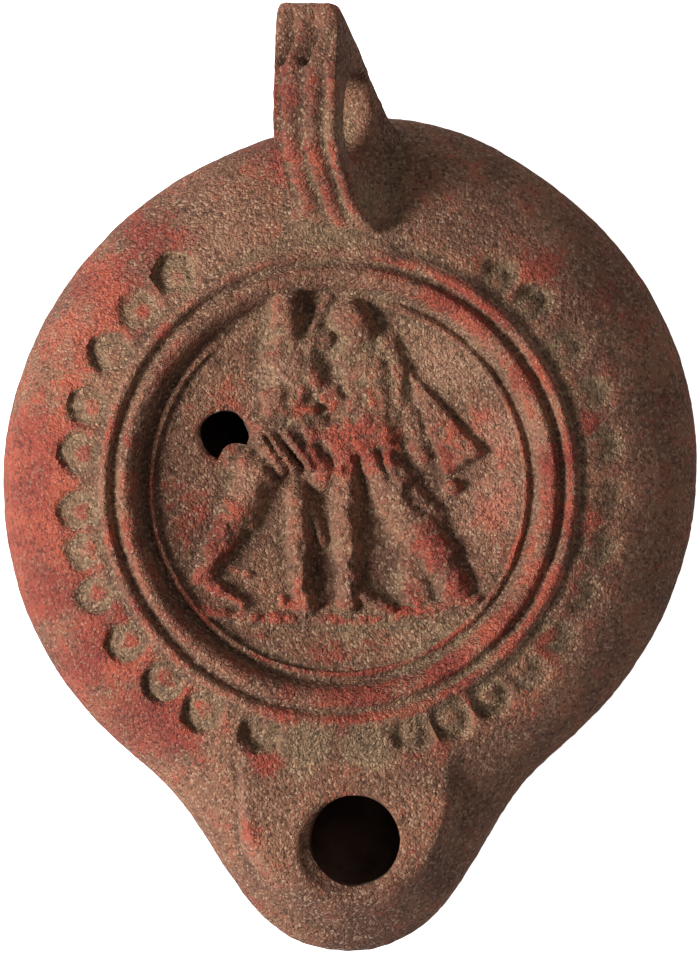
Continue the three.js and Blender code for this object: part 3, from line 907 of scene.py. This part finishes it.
# Painted shade: the hollows are darkened toward dark brown, partly as grime and partly as the shade that
# falls in them.
grime_and_shade_share = between(tree, hollow, 0.25, 1.0)
surface = mixed(tree, calc(tree, "MULTIPLY", grime_and_shade_share, 0.4), surface, GRIME_AND_PAINTED_SHADE)
# Painted shade and painted light: where this mask is positive the surface darkens toward brown, for stains
# and for shade; where it is negative it pales, for dust and for light.
stain_dust_and_painted_light = node(tree, "ShaderNodeAttribute", attribute_name="stain_dust_and_painted_light").outputs["Fac"]
stain_dust_and_painted_light = calc(tree, "ADD", stain_dust_and_painted_light, calc(tree, "MULTIPLY", calc(tree, "SUBTRACT", patches, 0.5), 0.5))
stain_and_shade_share = calc(tree, "MULTIPLY", between(tree, stain_dust_and_painted_light, 0.0, 0.9), 0.75)
surface = mixed(tree, stain_and_shade_share, surface, STAIN_AND_PAINTED_SHADE)
# Painted light: the pale colour lightens the lit sides as well as the dusty places.
dust_and_light_share = calc(tree, "MULTIPLY", between(tree, stain_dust_and_painted_light, 0.0, -0.8), 0.6)
surface = mixed(tree, dust_and_light_share, surface, DUST_AND_PAINTED_LIGHT)
on_bare_clay = calc(tree, "SUBTRACT", 0.5, calc(tree, "MULTIPLY", slip_mask, 0.3))
light_grains = calc(tree, "MULTIPLY", between(tree, texture.outputs["Grain"], 0.7, 1.0), on_bare_clay)
dark_grains = calc(tree, "MULTIPLY", between(tree, texture.outputs["Grain"], 0.34, 0.0), 0.6)
surface = mixed(tree, light_grains, surface, GRAIN_LIGHT)
surface = mixed(tree, dark_grains, surface, GRAIN_DARK)
tree.links.new(surface, shader.inputs["Base Color"])
bump = node(
    tree,
    "ShaderNodeBump",
    {"Strength": 1.0, "Distance": SKIN_GRIT_HEIGHT, "Height": texture.outputs["Height"]},
)
tree.links.new(bump.outputs["Normal"], shader.inputs["Normal"])
roughness = calc(tree, "SUBTRACT", 0.9, calc(tree, "MULTIPLY", slip_mask, 0.18))
tree.links.new(roughness, shader.inputs["Roughness"])
shader.inputs["Specular IOR Level"].default_value = 0.3

bare = bpy.data.materials.new("bare_clay")
bare.use_nodes = True
tree = bare.node_tree
shader = tree.nodes["Principled BSDF"]
texture = node(tree, "ShaderNodeGroup", node_tree=grit)
# Painted shade: the bare clay inside gets a dark brown that stands for the shade in the holes.
shade = between(tree, texture.outputs["Blotch"], 0.3, 0.7)
tree.links.new(mixed(tree, shade, INSIDE_PAINTED_SHADE_DEEP, INSIDE_PAINTED_SHADE_PALE), shader.inputs["Base Color"])
bump = node(
    tree,
    "ShaderNodeBump",
    {"Strength": 0.5, "Distance": INSIDE_GRIT_HEIGHT, "Height": texture.outputs["Height"]},
)
tree.links.new(bump.outputs["Normal"], shader.inputs["Normal"])
shader.inputs["Roughness"].default_value = 0.9

# The skin takes the slip, and every face that the cutter leaves behind is bare clay.
for number, piece in enumerate((lamp, cutter)):
    piece.data.materials.clear()
    piece.data.materials.append(slipped)
    piece.data.materials.append(bare)
    piece.data.polygons.foreach_set("material_index", [number] * len(piece.data.polygons))
joined(lamp, cutter, "DIFFERENCE")

# Where slip and sand lie: x, y, radius and how much, in millimetres from the middle of the base.
SLIP_PATCHES = [
    (-38, 3, 6, 0.5),
    (-38.5, -5, 7, 0.5),
    (-37, -13, 7, 0.4),
    (-29, 22, 5, 0.45),
    (-24, 29, 4, 0.35),
    (-33, 17, 4, 0.4),
    (-34, 10, 3, 0.2),
    (-30, -22, 7, 0.4),
    (-24, -29, 7, 0.4),
    (-28, -16, 3, 0.3),
    (-4, 7.5, 4, 0.4),
    (0, 4, 4.5, 0.55),
    (-4, 4.5, 3.5, 0.45),
    (4.8, 3.4, 3.5, 0.4),
    (-15.5, -9.5, 2.2, 0.45),
    (-8, -16.6, 3.5, 0.35),
    (-2, -16.9, 3, 0.3),
    (10, -9, 3, 0.4),
    (13, -13.5, 2.6, 0.4),
    (6, -15.6, 3, 0.4),
    (11, 3, 3, 0.35),
    (18.4, 4, 3.5, 0.4),
    (18.5, -3, 5, 0.5),
    (17, 6, 4, 0.4),
    (-18, -6, 6, 0.35),
    (-17, -14, 5, 0.35),
    (-14, 8, 5, 0.15),
    (20, -8, 3, 0.4),
    (0, -23, 8, 0.4),
    (11, -20, 5, 0.3),
    (-10, -20, 5, 0.2),
    (-24, -2, 3, 0.25),
    (25.5, 2, 3, 0.5),
    (26, -5, 3, 0.5),
    (24, -13, 3.4, 0.5),
    (19, -19, 3.4, 0.4),
    (12, -24, 3.4, 0.4),
    (12, 22, 3.4, 0.5),
    (17, 19, 3.2, 0.45),
    (22, 12, 3, 0.4),
    (6, 26, 2.6, 0.3),
    (28.6, 6, 2.4, 0.4),
    (28.6, -6, 2.4, 0.4),
    (24, -20, 2.2, 0.35),
    (0, -30.6, 4, 0.4),
    (8, -29.5, 4, 0.3),
    (-8, -30, 4, 0.35),
    (-10, -33.6, 3, 0.35),
    (-29, -8, 3, 0.3),
    (-29, 6, 2.4, 0.3),
    (-24, 18, 2.6, 0.3),
    (-7.5, 48, 5, 0.3),
    (-8, 38, 4, 0.35),
    (-4.4, 38, 4, 0.3),
    (-2.4, 33, 3, 0.3),
    (-7, 30, 2.4, 0.3),
    (23, 25, 2.5, 0.4),
    (30, 21, 2.5, 0.15),
    (-12.6, -43, 2.2, 0.25),
]
SAND_PATCHES = [
    (-15, 30, 8, 0.4),
    (-23, 27, 3, 0.35),
    (3, 16, 8, 0.4),
    (12, 14, 6, 0.3),
    (-7, 14, 6, 0.4),
    (0, -20, 4, 0.35),
    (9, -20, 6, 0.35),
    (-9, -20, 4, 0.25),
    (14, -23, 4, 0.4),
    (-12, 37, 4, 0.35),
    (4, 33, 6, 0.3),
    (22, 20, 4, 0.2),
    (31, 12, 4, 0.2),
    (35, 3, 4, 0.2),
    (32, -12, 4, 0.15),
    (-5, -33, 4, 0.45),
    (2, -33.4, 4, 0.45),
    (-34, 19, 3, 0.2),
    (-12, 0, 4, 0.2),
    (-12, -4, 3, 0.3),
    (-5.5, -6, 3, 0.3),
    (0, -8, 3, 0.3),
    (7.5, -12, 2, 0.4),
    (-2, 30, 8, 0.3),
    (-22, 14, 3, 0.2),
    (-15, 22, 3, 0.2),
    (-2, 42, 3, 0.6),
    (24, -22, 3, 0.1),
]

# Brown stains and painted shade, and pale dust and painted light. The dark patches are partly grime, as on
# the handle,
# and partly painted shade: on the dish's left floor under the rings, between the legs, at the nozzle's tip
# and on the right shoulder. The pale patches are partly dust and partly painted light on the dish's right
# floor and the legs' lit sides.
STAIN_AND_SHADE_PATCHES = [
    (0, -54, 9, 0.55),
    (-13, -50, 5, 0.25),
    (12, -48, 6, 0.35),
    (-6, 52, 6, 0.55),
    (-6, 43, 6, 0.5),
    (-4, 34, 4, 0.3),
    (-27, -30, 8, 0.35),
    (-36, -16, 8, 0.2),
    (-20, 2, 5, 0.35),
    (-18, -9, 5, 0.45),
    (-10, -8, 3.4, 0.4),
    (-3, -11, 2.2, 0.55),
    (4.6, -10.5, 2.4, 0.55),
    (9, -1, 3, 0.35),
    (13, 9, 2.4, 0.3),
    (4, 19, 2.6, 0.3),
    (-5.6, 20.5, 2, 0.45),
    (-3, -23, 8, 0.3),
    (34, -12, 10, 0.25),
    (30, 24, 8, 0.2),
    (24, 21, 3, 0.4),
    (28, -8, 3, 0.3),
    (10, -34, 5, 0.35),
    (-13, -33, 3, 0.35),
    (2, -38, 8, 0.15),
]
# Pale dust and painted light on the dish's right floor and on the legs' lit sides.
DUST_AND_LIGHT_PATCHES = [
    (18, 5, 5, 0.55),
    (18, -3, 5, 0.55),
    (12, 13, 6, 0.45),
    (-15, 29, 7, 0.3),
    (-34, 19, 5, 0.25),
    (-8, 12, 3.5, 0.3),
    (-12, -2, 3, 0.3),
    (-29, 0, 4, 0.2),
    (8, -12, 2, 0.35),
    (-6, -7, 1.8, 0.3),
    (0.5, -9, 1.8, 0.3),
    (-11, -40, 5, 0.2),
    (4, 30, 6, 0.2),
]

mesh = lamp.data
points, normals, edges = arrays(mesh)
degree = np.maximum(1, np.bincount(edges.ravel(), minlength=len(points)))
smoothed = points.copy()
for _ in range(10):
    smoothed = mean_of_neighbours(smoothed, edges, degree)
near = np.einsum("ij,ij->i", smoothed - points, normals)
for _ in range(40):
    smoothed = mean_of_neighbours(smoothed, edges, degree)
wide = np.einsum("ij,ij->i", smoothed - points, normals)
hollowness = np.clip(near / 0.12 + wide / 0.5, -1, 1)


def patch_weight(patches):
    total = np.zeros(len(points))
    for x, y, radius, amount in patches:
        off = np.hypot(points[:, 0] - x, points[:, 1] - y) / radius
        total = np.maximum(total, amount * np.exp(-(off**2)))
    return total


# Stains and painted shade count up, and dust and painted light count down.
stain_dust_and_painted_light = patch_weight(STAIN_AND_SHADE_PATCHES) - patch_weight(DUST_AND_LIGHT_PATCHES)
slip_laid = patch_weight(SLIP_PATCHES)
in_eggs = egg_stamps(points[:, 0], points[:, 1])[1] * (points[:, 2] > 20)
sand = patch_weight(SAND_PATCHES) + 0.28 * in_eggs
masks = {"hollow": hollowness, "slip": slip_laid, "sand": sand, "stain_dust_and_painted_light": stain_dust_and_painted_light}
for name, values in masks.items():
    mesh.attributes.new(name, "FLOAT", "POINT").data.foreach_set("value", values)
mesh.vertices.foreach_set("co", (points * MILLIMETRE).ravel())
mesh.update()
mesh.polygons.foreach_set("use_smooth", [True] * len(mesh.polygons))
mesh.set_sharp_from_angle(angle=radians(50))
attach(lamp, "root")
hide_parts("lamp")
triangles = sum(len(p.vertices) - 2 for p in mesh.polygons)
print("lamp_clay", len(mesh.vertices), "vertices", triangles, "triangles")


# ---- The floor, the light and the camera ----
# The lamp lies on a plain pale floor. A broad soft light comes low from the left, and the camera looks
# straight down with a long lens.
FLOOR_HALF = 2.0
CAMERA_HEIGHT = 6.0
floor_corners = np.array([[-1, -1, 0], [1, -1, 0], [1, 1, 0], [-1, 1, 0]]) * FLOOR_HALF
floor = mesh_object("floor", floor_corners, [[0, 1, 2, 3]])
paper = bpy.data.materials.new("pale_floor")
paper.use_nodes = True
shader = paper.node_tree.nodes["Principled BSDF"]
shader.inputs["Base Color"].default_value = (0.9, 0.9, 0.9, 1)
shader.inputs["Roughness"].default_value = 0.9
shader.inputs["Emission Color"].default_value = (1, 1, 1, 1)
seen = paper.node_tree.nodes.new("ShaderNodeLightPath")
paper.node_tree.links.new(seen.outputs["Is Camera Ray"], shader.inputs["Emission Strength"])
floor.data.materials.append(paper)


def soft_light(name, azimuth, elevation, distance, size, power):
    """A round soft box that faces the lamp. Angles are in degrees, from +X and above the floor."""
    light = bpy.data.lights.new(name, "AREA")
    light.shape = "DISK"
    light.size = size
    light.energy = power
    placed = bpy.data.objects.new(name, light)
    across = distance * cos(radians(elevation))
    placed.location = (
        across * cos(radians(azimuth)),
        across * sin(radians(azimuth)),
        distance * sin(radians(elevation)),
    )
    placed.rotation_euler = (-Vector(placed.location)).to_track_quat("-Z", "Y").to_euler()
    bpy.context.collection.objects.link(placed)


soft_light("key_light", 190, 36, 1.0, 0.34, 16)
soft_light("fill_light", 60, 65, 1.2, 0.9, 1.0)

world = bpy.data.worlds.new("studio")
world.use_nodes = True
world.node_tree.nodes["Background"].inputs["Color"].default_value = (1, 1, 1, 1)
world.node_tree.nodes["Background"].inputs["Strength"].default_value = 0.17
bpy.context.scene.world = world
bpy.context.scene.view_settings.view_transform = "Standard"

camera_data = bpy.data.cameras.new("camera")
camera_data.lens = 1856
camera_data.sensor_width = 36
camera_data.clip_end = 20
camera = bpy.data.objects.new("camera", camera_data)
camera.location = (0.0, -0.00024, CAMERA_HEIGHT)
bpy.context.collection.objects.link(camera)
bpy.context.scene.camera = camera
